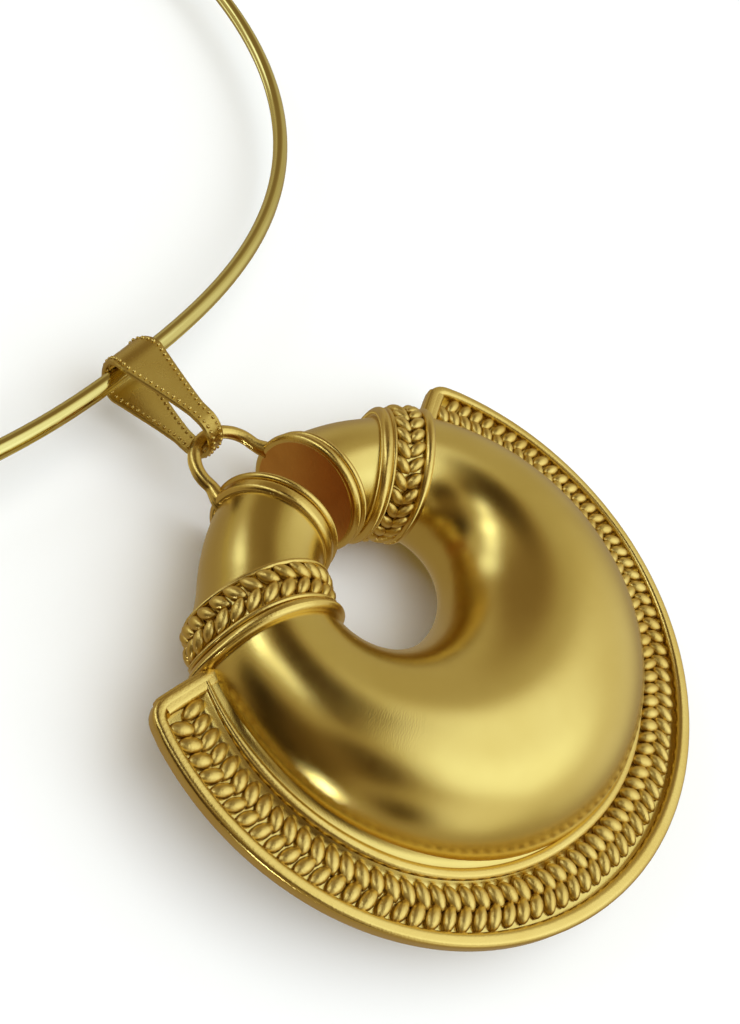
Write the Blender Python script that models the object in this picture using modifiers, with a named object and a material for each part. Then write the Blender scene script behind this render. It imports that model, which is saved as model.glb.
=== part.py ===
"""Crescent pendant on a rigid neck wire, in gold, lying face up.

The pendant is a fat C-shaped horn with two end discs that almost meet, a braided
band round each horn, a crescent flange with a two-row braid along it, and a small
loop between the horn ends. A folded strip, the bail, hangs the loop on the wire.
X runs across the pendant, +Y from its foot to the far side of the neck wire, and
+Z out of its face. The origin is on the table, under the middle of the whole.
"""
import math

import bmesh
import bpy
from mathutils import Vector

MM = 0.001
GAP = 0.35 * MM
MERGE_DISTANCE = 0.001 * MM
SHARP_ANGLE = math.radians(40)

# Neck wire: an oval ring that rests on the table at its far side and hangs in the bail.
WIRE_DIAMETER = 1.6 * MM
NECK_HALF_WIDTH = 56.0 * MM
NECK_NEAR_DEPTH = 46.5 * MM
NECK_FAR_DEPTH = 57.0 * MM
NECK_SQUARENESS = 0.84
PENDANT_SLIDE = 2.7 * MM
WIRE_POINTS = 47
EYE_RADIUS = 2.2 * MM
EYE_REACH = math.radians(290)
EYE_POINTS = 14
HOOK_RISE_LENGTH = 11.0 * MM
HOOK_RISE_POINTS = 6
HOOK_BEND_POINTS = 8
HOOK_ARM_LENGTH = 4.5 * MM

# Flange: a flat crescent whose outer edge is a circle that opens a little at the tips.
FLANGE_RADIUS = 26.0 * MM
FLANGE_SPLAY = 1.48 * MM
FLANGE_REACH = math.radians(122)
FLANGE_TIP_SLANT = math.radians(4)
FLANGE_THICKNESS = 1.6 * MM
FLANGE_ROOT = 1.3 * MM
RIM_WIDTH = 1.0 * MM
RIM_CREST = 0.1 * MM
RIM_SHOULDER = 0.35 * MM
CHANNEL_DEPTH = 0.75 * MM
BARE_STRIP_WIDTH = 0.8 * MM
INNER_BAND_WIDTH = 1.0 * MM
INNER_BAND_RISE = 0.35 * MM
GROOVE_WIDTH = 0.5 * MM

# Braid along the flange, and what it shares with the braids round the horns.
BRAID_ROW_WIDTH = 1.4 * MM
BRAID_RELIEF = 0.6 * MM
BRAID_NOTCH = 0.45 * MM
BRAID_SLANT = 0.75
FLANGE_STRANDS = 71
FLANGE_END_STEPS = 3

# Horn body: between an oval hole and a circle that runs inside the flange.
HORN_SPLAY = 0.95 * MM
HORN_SHOULDER = 0.85 * MM
HORN_SHOULDER_REACH = math.radians(134)
HORN_SHOULDER_FADE = math.radians(14)
HOLE_HALF_WIDTH = 7.2 * MM
HOLE_HALF_LENGTH = 5.6 * MM
HOLE_OFFSET = 6.0 * MM
HORN_BELOW_FACE = 1.6 * MM
HORN_REACH = math.radians(167)
HORN_END_TWIST = math.radians(1)
HORN_END_TWIST_POWER = 6
HORN_FRONT = 9.4 * MM
HORN_BACK = 6.3 * MM
HORN_END_FRONT = 5.8 * MM
HORN_END_BACK = 5.4 * MM
HORN_TAPER = 1.5
BACK_FLAT_DEPTH = 0.12 * MM
HORN_STATIONS = 32
HORN_SIDES = 20

# Mouldings at the horn ends and braided bands round the horns.
END_RIM_LENGTH = 1.9 * MM
END_RIM_LIP = 0.25 * MM
END_RIM_RISE = 0.65 * MM
END_RIM_STEPS = ((0.0, 0.0), (0.12, 0.8), (0.5, 1.0), (0.7, 0.6), (1.0, 0.6))
BAND_PLACE = math.radians(123.3)
BAND_LEAN = 0.8 * MM
BAND_BOW = 0.7 * MM
BAND_STRANDS = 27
BAND_ROW_WIDTH = 1.45 * MM
BAND_BRAID_RISE = 0.85 * MM
BAND_FLOOR_RISE = 0.2 * MM
BAND_BODY_RING_WIDTH = 1.0 * MM
BAND_BODY_RING_RISE = 0.75 * MM
BAND_WIRE_WIDTH = 0.45 * MM
BAND_WIRE_RISE = 0.6 * MM
BAND_END_RING_WIDTH = 1.2 * MM
BAND_END_RING_RISES = {-1: 0.3 * MM, 1: 0.8 * MM}

# Loop between the horn ends, and the strip that hangs it on the wire.
LOOP_WIRE_DIAMETER = 1.2 * MM
LOOP_HALF_WIDTH = 3.3 * MM
LOOP_LEG = 1.6 * MM
LOOP_RISE = 3.2 * MM
LOOP_ROOT = 1.6 * MM
LOOP_POINTS = 10
BAIL_WIDTH = 5.1 * MM
BAIL_NECK_WIDTH = 2.0 * MM
BAIL_NECK_SHARE = 0.12
BAIL_TAPER = 1.15
BAIL_LENGTH = 12.0 * MM
BAIL_FOOT_SLIDE = 0.4 * MM
BAIL_TOP_SLIDE = 1.05 * MM
BAIL_STRIP = 0.42 * MM
BAIL_TOP_BORE = 1.9 * MM
BAIL_FOOT_BORE = 1.9 * MM
BAIL_BEND_POINTS = 9
BAIL_LEAF_POINTS = 7
BAIL_WIRE_PLAY = 0.36 * MM

WIRE_HALF = WIRE_DIAMETER / 2
LOOP_HALF = LOOP_WIRE_DIAMETER / 2
FLANGE_WIDTH = RIM_WIDTH + 2 * BRAID_ROW_WIDTH + BARE_STRIP_WIDTH + INNER_BAND_WIDTH
HORN_RADIUS = FLANGE_RADIUS - FLANGE_WIDTH - GROOVE_WIDTH
HORN_AXIS_HEIGHT = HORN_BACK - BACK_FLAT_DEPTH
FLANGE_FACE = HORN_AXIS_HEIGHT + HORN_BELOW_FACE
HOOK_RADIUS = 2 * WIRE_HALF + GAP


def smooth_step(share):
    share = min(1.0, max(0.0, share))
    return share * share * (3 - 2 * share)


def direction(angle):
    """Unit vector in the pendant's face, angle measured from its foot towards +X."""
    return Vector((math.sin(angle), -math.cos(angle), 0.0))


def flange_edge(angle, inset):
    """Distance from the middle of the flange's circle, inset from the outer edge."""
    return FLANGE_RADIUS + FLANGE_SPLAY * (angle / FLANGE_REACH) ** 2 - inset


def horn_outer_edge(angle):
    """Outermost place of the horn, by the angle round the hole."""
    turn = math.asin(HOLE_OFFSET * math.sin(angle) / HORN_RADIUS)
    twist = (angle / HORN_REACH) ** HORN_END_TWIST_POWER
    outer_angle = angle + turn + math.copysign(HORN_END_TWIST, angle) * twist
    share = abs(outer_angle) / FLANGE_REACH
    past_shoulder = (abs(outer_angle) - HORN_SHOULDER_REACH) / HORN_SHOULDER_FADE
    shoulder = min(1.0, share ** 2) * (1 - smooth_step(past_shoulder))
    edge = HORN_RADIUS + HORN_SPLAY * share ** 2 + HORN_SHOULDER * shoulder
    return direction(outer_angle) * edge


def horn_inner_edge(angle):
    """Place on the oval hole's edge, by the angle round the hole."""
    across = HOLE_HALF_WIDTH * math.sin(angle)
    along = HOLE_OFFSET - HOLE_HALF_LENGTH * math.cos(angle)
    return Vector((across, along, 0.0))


# Places along Y, from the middle of the flange's circle.
HORN_TIP_Y = horn_outer_edge(HORN_REACH).y
LOOP_TOP_Y = HORN_TIP_Y + LOOP_LEG + LOOP_RISE
BAIL_FOOT_Y = LOOP_TOP_Y + BAIL_FOOT_BORE - LOOP_HALF - GAP
BAIL_TOP_Y = BAIL_FOOT_Y + BAIL_LENGTH - BAIL_FOOT_BORE - BAIL_TOP_BORE - 2 * BAIL_STRIP
NEAR_WIRE_Y = BAIL_TOP_Y + BAIL_TOP_BORE - WIRE_HALF - BAIL_WIRE_PLAY
NECK_DEPTH = NECK_NEAR_DEPTH + NECK_FAR_DEPTH
NECK_TILT = math.asin((HORN_AXIS_HEIGHT - WIRE_HALF) / NECK_DEPTH)
FAR_WIRE_Y = NEAR_WIRE_Y + NECK_DEPTH * math.cos(NECK_TILT)
REACH_BACK = FAR_WIRE_Y + HOOK_RADIUS + WIRE_HALF
PENDANT_Y = (FLANGE_RADIUS - REACH_BACK) / 2


def clear_scene():
    for item in list(bpy.data.objects):
        bpy.data.objects.remove(item, do_unlink=True)


def make_collection(name):
    collection = bpy.data.collections.new(name)
    bpy.context.scene.collection.children.link(collection)
    return collection


def make_material(name, colour, roughness):
    material = bpy.data.materials.new(name)
    material.use_nodes = True
    shader = material.node_tree.nodes["Principled BSDF"]
    shader.inputs["Base Color"].default_value = (*colour, 1.0)
    shader.inputs["Roughness"].default_value = roughness
    shader.inputs["Metallic"].default_value = 1.0
    return material


def pendant_point(across, along, height):
    """A place given from the middle of the flange's circle, in the whole's own frame."""
    return Vector((across - PENDANT_SLIDE, along + PENDANT_Y, height))


def loft(name, rings):
    """Skin a row of rings that have the same number of points, and close both ends."""
    mesh = bpy.data.meshes.new(name)
    shape = bmesh.new()
    rows = [[shape.verts.new(point) for point in ring] for ring in rings]
    for near, far in zip(rows, rows[1:]):
        for index, corner in enumerate(near):
            after = (index + 1) % len(near)
            shape.faces.new((corner, near[after], far[after], far[index]))
    shape.faces.new(reversed(rows[0]))
    shape.faces.new(rows[-1])
    bmesh.ops.triangulate(shape, faces=shape.faces[:])
    bmesh.ops.recalc_face_normals(shape, faces=shape.faces[:])
    shape.to_mesh(mesh)
    shape.free()
    return bpy.data.objects.new(name, mesh)


def wire_object(name, points, diameter):
    """A round wire with closed ends along a row of points."""
    curve = bpy.data.curves.new(name, "CURVE")
    curve.dimensions = "3D"
    curve.bevel_depth = diameter / 2
    curve.bevel_resolution = 2
    curve.use_fill_caps = True
    spline = curve.splines.new("POLY")
    spline.points.add(len(points) - 1)
    for spline_point, point in zip(spline.points, points):
        spline_point.co = (*point, 1.0)
    return bpy.data.objects.new(name, curve)


def curve_to_mesh(item, collection):
    """Turn a wire into a closed mesh, so that it can be joined to another piece."""
    collection.objects.link(item)
    bpy.context.view_layer.update()
    evaluated = item.evaluated_get(bpy.context.evaluated_depsgraph_get())
    mesh = bpy.data.meshes.new_from_object(evaluated)
    shape = bmesh.new()
    shape.from_mesh(mesh)
    bmesh.ops.remove_doubles(shape, verts=shape.verts[:], dist=MERGE_DISTANCE)
    bmesh.ops.recalc_face_normals(shape, faces=shape.faces[:])
    shape.to_mesh(mesh)
    shape.free()
    solid = bpy.data.objects.new(item.name + "_solid", mesh)
    solid.matrix_world = item.matrix_world
    bpy.data.objects.remove(item, do_unlink=True)
    return solid


def combine(target, tool, operation, collection):
    """Join a tool shape to a piece, or cut the piece with it."""
    collection.objects.link(tool)
    tool.hide_render = True
    tool.display_type = "WIRE"
    modifier = target.modifiers.new(tool.name, "BOOLEAN")
    modifier.operation = operation
    modifier.solver = "EXACT"
    modifier.object = tool


def flange_section(on_ridge, has_channel):
    """Points across the flange: distance in from the edge, height, and share of the slant."""
    foot = FLANGE_FACE - FLANGE_THICKNESS
    floor = FLANGE_FACE
    crest = FLANGE_FACE
    if has_channel:
        floor -= CHANNEL_DEPTH
        crest = floor + BRAID_RELIEF - (0.0 if on_ridge else BRAID_NOTCH)
    rows_end = RIM_WIDTH + 2 * BRAID_ROW_WIDTH
    band_start = rows_end + BARE_STRIP_WIDTH
    band_top = FLANGE_FACE + INNER_BAND_RISE
    root = FLANGE_WIDTH + GROOVE_WIDTH + FLANGE_ROOT
    return (
        (0.0, foot, 0.0),
        (0.0, FLANGE_FACE - RIM_SHOULDER, 0.0),
        (RIM_WIDTH / 2, FLANGE_FACE + RIM_CREST, 0.0),
        (RIM_WIDTH, floor, 0.0),
        (RIM_WIDTH + BRAID_ROW_WIDTH / 2, crest, 0.5),
        (RIM_WIDTH + BRAID_ROW_WIDTH, floor, 1.0),
        (rows_end - BRAID_ROW_WIDTH / 2, crest, 0.5),
        (rows_end, floor, 0.0),
        (band_start, band_top, 0.0),
        (FLANGE_WIDTH, band_top, 0.0),
        (root, floor, 0.0),
        (root, foot, 0.0),
    )


def flange_ring(angle, slant, section):
    """One station of the flange; the slant makes the braid's chevrons."""
    ring = []
    for inset, height, slant_share in section:
        tip_cut = FLANGE_TIP_SLANT * inset / FLANGE_WIDTH
        place = angle * (1 + tip_cut / FLANGE_REACH) + slant_share * slant
        flat = direction(place) * flange_edge(place, inset)
        ring.append(pendant_point(flat.x, flat.y, height))
    return ring


def make_flange():
    """The crescent plate with rim, braid channel and inner band, swept tip to tip."""
    ridge, notch, plain = (
        flange_section(True, True),
        flange_section(False, True),
        flange_section(True, False),
    )
    braid_reach = FLANGE_REACH - RIM_WIDTH / FLANGE_RADIUS
    full_slant = BRAID_SLANT * 2 * braid_reach / FLANGE_STRANDS
    steps = 2 * FLANGE_STRANDS
    rings = [flange_ring(-reach, 0.0, plain) for reach in (FLANGE_REACH, braid_reach)]
    for step in range(1, steps):
        angle = braid_reach * (2 * step / steps - 1)
        slant = full_slant * min(1.0, (steps - step) / FLANGE_END_STEPS)
        rings.append(flange_ring(angle, slant, ridge if step % 2 else notch))
    rings += [flange_ring(reach, 0.0, plain) for reach in (braid_reach, FLANGE_REACH)]
    return loft("flange_shape", rings)


def horn_section(angle):
    """Middle, half width, direction across, and front and back depth of the horn."""
    inner = horn_inner_edge(angle)
    outer = horn_outer_edge(angle)
    half_width = (outer - inner).length / 2
    fullness = ((1 + math.cos(angle)) / 2) ** HORN_TAPER
    front = HORN_END_FRONT + (HORN_FRONT - HORN_END_FRONT) * fullness
    back = HORN_END_BACK + (HORN_BACK - HORN_END_BACK) * fullness
    return (inner + outer) / 2, half_width, (outer - inner).normalized(), front, back


def horn_point(angle, turn, rise):
    """A place on the horn's skin, raised by a distance off it."""
    middle, half_width, across, front, back = horn_section(angle)
    depth = front if math.sin(turn) >= 0 else back
    flat = middle + across * (half_width + rise) * math.cos(turn)
    height = HORN_AXIS_HEIGHT + (depth + rise) * math.sin(turn)
    return pendant_point(flat.x, flat.y, height)


def turns_round_horn(sides):
    return [2 * math.pi * side / sides for side in range(sides)]


def place_along_horn(angle, turn, distance):
    """Angle reached on the horn's skin, a distance along it from a ring at an angle."""
    middle, half_width, across, _, _ = horn_section(angle)
    skin = middle + across * half_width * math.cos(turn)
    return angle + distance / (skin - Vector((0.0, HOLE_OFFSET, 0.0))).length


def make_horn():
    rings = []
    for step in range(HORN_STATIONS + 1):
        angle = HORN_REACH * (2 * step / HORN_STATIONS - 1)
        rings.append([horn_point(angle, turn, 0.0) for turn in turns_round_horn(HORN_SIDES)])
    return loft("crescent_pendant", rings)


def make_end_rim(side):
    """The double moulding round a horn's end disc."""
    rings = []
    for length_share, rise_share in END_RIM_STEPS:
        distance = (length_share - 1.0) * END_RIM_LENGTH + END_RIM_LIP
        ring = []
        for turn in turns_round_horn(HORN_SIDES):
            angle = place_along_horn(HORN_REACH, turn, distance)
            ring.append(horn_point(side * angle, turn, rise_share * END_RIM_RISE))
        rings.append(ring)
    return loft(f"end_rim_shape_{side:+d}", rings)


def band_lean(turn):
    """How far a band's rings swing towards the pendant's foot, most on the horn's outside."""
    outward = math.cos(turn)
    return -BAND_LEAN * outward - BAND_BOW * outward ** 2


def make_band(side):
    """The braided band round a horn, between a ring, and a thin wire and a second ring."""
    row = BAND_ROW_WIDTH
    wire_end = row + BAND_WIRE_WIDTH
    steps = (
        (-row - BAND_BODY_RING_WIDTH, 0.0, 0.0, 0.0),
        (-row - BAND_BODY_RING_WIDTH / 2, BAND_BODY_RING_RISE, 0.0, 0.0),
        (-row, BAND_FLOOR_RISE, 0.0, 0.0),
        (-row / 2, BAND_BRAID_RISE, BRAID_NOTCH, 0.5),
        (0.0, BAND_FLOOR_RISE, 0.0, 1.0),
        (row / 2, BAND_BRAID_RISE, BRAID_NOTCH, 0.5),
        (row, BAND_FLOOR_RISE, 0.0, 0.0),
        (row + BAND_WIRE_WIDTH / 2, BAND_WIRE_RISE, 0.0, 0.0),
        (wire_end, BAND_FLOOR_RISE, 0.0, 0.0),
        (wire_end + BAND_END_RING_WIDTH / 2, BAND_END_RING_RISES[side], 0.0, 0.0),
        (wire_end + BAND_END_RING_WIDTH, 0.0, 0.0, 0.0),
    )
    slant = BRAID_SLANT * 2 * math.pi / BAND_STRANDS
    rings = []
    for along, rise, notch, slant_share in steps:
        ring = []
        for index, turn in enumerate(turns_round_horn(2 * BAND_STRANDS)):
            turn += slant * slant_share
            angle = place_along_horn(BAND_PLACE, turn, along + band_lean(turn))
            ring.append(horn_point(side * angle, turn, rise - notch * (index % 2)))
        rings.append(ring)
    return loft(f"braid_band_shape_{side:+d}", rings)


def make_loop():
    """The arch of round wire that stands between the horns' end rims."""
    spring_y = HORN_TIP_Y + LOOP_LEG
    legs = [(-LOOP_HALF_WIDTH, HORN_TIP_Y - LOOP_ROOT), (-LOOP_HALF_WIDTH, HORN_TIP_Y)]
    for step in range(LOOP_POINTS + 1):
        turn = math.pi * step / LOOP_POINTS
        across = -LOOP_HALF_WIDTH * math.cos(turn)
        legs.append((across, spring_y + LOOP_RISE * math.sin(turn)))
    legs.append((LOOP_HALF_WIDTH, HORN_TIP_Y))
    legs.append((LOOP_HALF_WIDTH, HORN_TIP_Y - LOOP_ROOT))
    points = [pendant_point(across, along, HORN_AXIS_HEIGHT) for across, along in legs]
    return wire_object("loop_wire", points, LOOP_WIRE_DIAMETER)


def make_table_cutter():
    """Cuts the small flat spot that the pendant's back rests on."""
    bpy.ops.mesh.primitive_cube_add(size=1.0)
    cutter = bpy.context.object
    cutter.name = "table_cutter"
    cutter.scale = (4 * FLANGE_RADIUS, 4 * FLANGE_RADIUS, HORN_BACK)
    cutter.location = pendant_point(0.0, 0.0, -HORN_BACK / 2)
    for owner in list(cutter.users_collection):
        owner.objects.unlink(cutter)
    return cutter


def make_crescent_pendant(parts, tools):
    pendant = make_horn()
    parts.objects.link(pendant)
    combine(pendant, make_flange(), "UNION", tools)
    for side in (-1, 1):
        combine(pendant, make_end_rim(side), "UNION", tools)
        combine(pendant, make_band(side), "UNION", tools)
    combine(pendant, curve_to_mesh(make_loop(), tools), "UNION", tools)
    combine(pendant, make_table_cutter(), "DIFFERENCE", tools)
    return pendant


def bail_edges(along):
    """Where the strip's two edges are: it widens and swings from the loop to the wire."""
    share = (along - BAIL_FOOT_Y) / (BAIL_TOP_Y - BAIL_FOOT_Y)
    past_neck = (share - BAIL_NECK_SHARE) / (1 - BAIL_NECK_SHARE)
    growth = min(1.0, max(0.0, past_neck)) ** BAIL_TAPER
    half = (BAIL_NECK_WIDTH + (BAIL_WIDTH - BAIL_NECK_WIDTH) * growth) / 2
    middle = BAIL_FOOT_SLIDE + (BAIL_TOP_SLIDE - BAIL_FOOT_SLIDE) * share
    return middle - half, middle + half


def bail_bend(centre, bore, start, sweep):
    bend = []
    for step in range(BAIL_BEND_POINTS + 1):
        turn = start - sweep * step / BAIL_BEND_POINTS
        bend.append((centre + bore * math.cos(turn), bore * math.sin(turn)))
    return bend


def bail_path():
    """Inner face of the folded strip, seen from the side: two bends and two leaves."""
    lean = math.asin((BAIL_TOP_BORE - BAIL_FOOT_BORE) / (BAIL_TOP_Y - BAIL_FOOT_Y))
    half_turn = math.pi / 2
    top_sweep = math.pi + 2 * lean
    foot_sweep = math.pi - 2 * lean
    top = bail_bend(BAIL_TOP_Y, BAIL_TOP_BORE, half_turn + lean, top_sweep)
    foot = bail_bend(BAIL_FOOT_Y, BAIL_FOOT_BORE, -half_turn - lean, foot_sweep)
    path = []
    for bend, following in ((top, foot), (foot, top)):
        path.extend(bend)
        start, end = bend[-1], following[0]
        for step in range(1, BAIL_LEAF_POINTS):
            share = step / BAIL_LEAF_POINTS
            path.append(tuple(a + (b - a) * share for a, b in zip(start, end)))
    return path


def make_bail(parts):
    """A strip folded round the wire and through the loop, its leaves narrowing to the loop."""
    mesh = bpy.data.meshes.new("bail")
    shape = bmesh.new()
    rows = []
    for along, rise in bail_path():
        height = HORN_AXIS_HEIGHT + rise
        edges = [pendant_point(across, along, height) for across in bail_edges(along)]
        rows.append([shape.verts.new(point) for point in edges])
    for near, far in zip(rows, rows[1:] + rows[:1]):
        shape.faces.new((near[0], near[1], far[1], far[0]))
    bmesh.ops.recalc_face_normals(shape, faces=shape.faces[:])
    shape.to_mesh(mesh)
    shape.free()
    bail = bpy.data.objects.new("bail", mesh)
    parts.objects.link(bail)
    thickness = bail.modifiers.new("strip_thickness", "SOLIDIFY")
    thickness.thickness = BAIL_STRIP
    thickness.offset = 1.0
    return bail


def neck_plane_point(across, along):
    """A place in the ring's tilted plane, measured from its point nearest the pendant."""
    height = HORN_AXIS_HEIGHT - along * math.sin(NECK_TILT)
    y = PENDANT_Y + NEAR_WIRE_Y + along * math.cos(NECK_TILT)
    return Vector((across, y, height))


def neck_point(turn):
    """A place on the oval ring's middle line; 0 is near the pendant, a half turn is far."""
    spread = abs(math.sin(turn)) ** NECK_SQUARENESS
    across = math.copysign(NECK_HALF_WIDTH * spread, math.sin(turn))
    depth = NECK_NEAR_DEPTH if math.cos(turn) > 0 else NECK_FAR_DEPTH
    return neck_plane_point(across, NECK_NEAR_DEPTH - depth * math.cos(turn))


def far_turn(across):
    """Turn at which the far half of the ring reaches a place across."""
    share = (abs(across) / NECK_HALF_WIDTH) ** (1 / NECK_SQUARENESS)
    return math.copysign(math.pi - math.asin(share), across)


def neck_wire_path():
    """From the eye's free end, round the neck, to the free end of the hook."""
    eye_x = -EYE_RADIUS / 2
    bend_x = eye_x + EYE_RADIUS
    centre = neck_point(far_turn(eye_x))
    centre.z += EYE_RADIUS
    path = []
    for step in range(EYE_POINTS):
        turn = EYE_REACH * (1 - step / EYE_POINTS)
        offset = Vector((math.sin(turn), 0.0, -math.cos(turn))) * EYE_RADIUS
        path.append(centre + offset)
    first = far_turn(eye_x)
    last = far_turn(bend_x + HOOK_RISE_LENGTH)
    for step in range(WIRE_POINTS + 1):
        path.append(neck_point(first + (last - first) * step / WIRE_POINTS))
    for step in range(1, HOOK_RISE_POINTS + 1):
        share = step / HOOK_RISE_POINTS
        lift = smooth_step(share)
        point = neck_point(far_turn(bend_x + HOOK_RISE_LENGTH * (1 - share)))
        point.y += HOOK_RADIUS * lift
        point.z += EYE_RADIUS * lift
        path.append(point)
    bend_centre = path[-1] - Vector((0.0, HOOK_RADIUS, 0.0))
    for step in range(1, HOOK_BEND_POINTS + 1):
        turn = math.pi / 2 + math.pi * step / HOOK_BEND_POINTS
        offset = Vector((math.cos(turn), math.sin(turn), 0.0)) * HOOK_RADIUS
        path.append(bend_centre + offset)
    path.append(path[-1] + Vector((HOOK_ARM_LENGTH, 0.0, 0.0)))
    return path


def finish(item, material):
    item.data.materials.clear()
    item.data.materials.append(material)
    if item.type == "MESH":
        item.data.shade_smooth()
        item.data.set_sharp_from_angle(angle=SHARP_ANGLE)


def main():
    clear_scene()
    parts = make_collection("crescent_pendant_necklace")
    tools = make_collection("joining_and_cutting_shapes")
    tools.hide_render = True

    pendant = make_crescent_pendant(parts, tools)
    finish(pendant, make_material("satin_gold", (0.63, 0.46, 0.15), 0.34))

    bail = make_bail(parts)
    finish(bail, make_material("strip_gold", (0.60, 0.43, 0.14), 0.30))

    wire = wire_object("neck_wire", neck_wire_path(), WIRE_DIAMETER)
    parts.objects.link(wire)
    finish(wire, make_material("wire_gold", (0.66, 0.52, 0.17), 0.18))


main()
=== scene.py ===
"""Looks of the crescent pendant necklace: twisted-wire braids, polished rims, satin gold.

The sizes are those of the part's source, in metres and in the same frame. Sweeps, twisted
wires, bead rows and the horn's skin are Geometry Nodes trees that run on simple paths.
"""

import math

import bpy
import numpy as np
from mathutils import Matrix, Vector


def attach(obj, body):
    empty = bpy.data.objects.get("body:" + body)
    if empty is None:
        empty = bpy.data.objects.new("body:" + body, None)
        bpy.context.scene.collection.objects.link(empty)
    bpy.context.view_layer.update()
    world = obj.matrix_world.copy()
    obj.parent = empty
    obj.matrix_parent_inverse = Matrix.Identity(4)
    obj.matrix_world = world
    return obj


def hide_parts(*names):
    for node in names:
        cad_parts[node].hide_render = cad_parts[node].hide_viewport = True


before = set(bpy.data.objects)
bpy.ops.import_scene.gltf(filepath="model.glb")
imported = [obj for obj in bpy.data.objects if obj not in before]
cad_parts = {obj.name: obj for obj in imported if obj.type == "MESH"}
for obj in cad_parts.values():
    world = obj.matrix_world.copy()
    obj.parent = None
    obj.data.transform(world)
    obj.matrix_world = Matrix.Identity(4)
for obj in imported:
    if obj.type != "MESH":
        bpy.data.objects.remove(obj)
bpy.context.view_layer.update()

MM = 0.001
BODY = "root"
PENDANT_NODE = "crescent_pendant"

# Neck wire.
WIRE_DIAMETER = 1.6 * MM
WIRE_GAP = 0.35 * MM
NECK_HALF_WIDTH = 56.0 * MM
NECK_NEAR_DEPTH = 46.5 * MM
NECK_FAR_DEPTH = 57.0 * MM
NECK_SQUARENESS = 0.84
NECK_TILT = 0.0520041
PENDANT_SLIDE = 2.7 * MM
PENDANT_Y = -57.764 * MM
NEAR_WIRE_Y = 35.418 * MM
EYE_RADIUS = 2.2 * MM
EYE_REACH = math.radians(290)
HOOK_RADIUS = WIRE_DIAMETER + WIRE_GAP
HOOK_RISE_LENGTH = 11.0 * MM
HOOK_ARM_LENGTH = 4.5 * MM
WIRE_POINTS = 260
HOOK_POINTS = 24

# Flange.
FLANGE_RADIUS = 26.0 * MM
FLANGE_SPLAY = 1.48 * MM
FLANGE_REACH = math.radians(122)
FLANGE_TIP_SLANT = math.radians(4)
FLANGE_THICKNESS = 1.6 * MM
FLANGE_WIDTH = 5.6 * MM
FLANGE_ROOT = 7.4 * MM
FLANGE_FACE = 7.78 * MM
FLANGE_STATIONS = 220
RIM_WIDTH = 1.1 * MM
RIM_FOOT_SWELL = 0.28
RIM_CREST = 0.1 * MM
RIM_CORNER = 1.4 * MM
# Angles in from the rim's end, in radians: a point to round its corner towards, and
# where its long side starts.
RIM_CORNER_AIM = 0.12
RIM_SIDE_START = 0.075
BAR_CORNER = 0.42 * MM
TIP_RIM_WIDTH = 1.65 * MM
TIP_BAR_START = 1.27 * MM
TIP_BAR_DROP = 0.05 * MM
TIP_BAR_POINTS = 12
PLATE_EDGE = 0.3 * MM
PLATE_END_SHARE = 0.8
PLATE_ROOT = 1.6 * MM
CHANNEL_DEPTH = 0.75 * MM
# In millimetres: how far before the inner band, and height over the channel's floor.
CHANNEL_SLOPE = ((1.2, 0.0), (0.9, 0.08), (0.6, 0.26), (0.4, 0.5))
# In millimetres: how far past the inner band's middle, and height over the face.
HORN_FILLET = ((0.42, 0.08), (0.7, 0.16), (1.0, 0.36), (1.5, 0.8))
FILLET_REACH = math.radians(104)
FILLET_FADE = math.radians(14)
INNER_BAND_WIDTH = 0.95 * MM
INNER_BAND_DEPTH = 0.9 * MM
INNER_BAND_RISE = 0.35 * MM
INNER_BAND_PLACE = 5.15 * MM
INNER_BAND_END_SHARE = 0.6
INNER_BAND_END_SWELL = 0.5
INNER_BAND_FADE = 1 / 12
FOOT_WIDENING = 0.8 * MM
FOOT_REACH = math.radians(15)
FOOT_FADE = math.radians(55)
FLANGE_STRANDS = 76
FLANGE_ROWS = (1.95 * MM, 3.45 * MM)
FLANGE_GRAIN = (2.2 * MM, 1.24 * MM, 1.15 * MM)
FLANGE_GRAIN_SLANT = math.radians(66)
FLANGE_GRAIN_LIFT = 0.22 * MM
FLANGE_GRAIN_POINT = 0.12

# Horn.
HORN_RADIUS = 19.9 * MM
HORN_SPLAY = 0.95 * MM
HORN_SHOULDER = 0.85 * MM
HORN_SHOULDER_REACH = math.radians(134)
HORN_SHOULDER_FADE = math.radians(14)
HOLE_HALF_WIDTH = 7.2 * MM
HOLE_HALF_LENGTH = 5.6 * MM
HOLE_OFFSET = 6.0 * MM
HORN_REACH = math.radians(167)
HORN_END_TWIST = math.radians(1)
HORN_END_TWIST_POWER = 6
HORN_FRONT = 9.4 * MM
HORN_BACK = 6.3 * MM
HORN_END_FRONT = 5.8 * MM
HORN_END_BACK = 5.4 * MM
HORN_TAPER = 1.5
HORN_AXIS_HEIGHT = 6.18 * MM
HORN_STATIONS = 150
HORN_SIDES = 96

# Bands and end rims.
BAND_PLACE = math.radians(123.3)
BAND_STRANDS = 27
BAND_ROW_WIDTH = 1.45 * MM
BAND_GRAIN = (2.05 * MM, 1.12 * MM, 1.05 * MM)
BAND_GRAIN_SLANT = math.radians(42)
BAND_GRAIN_RISE = 0.3 * MM
BAND_GRAIN_POINT = 0.18
BAND_LEAN = 0.8 * MM
BAND_BOW = 0.7 * MM
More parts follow.
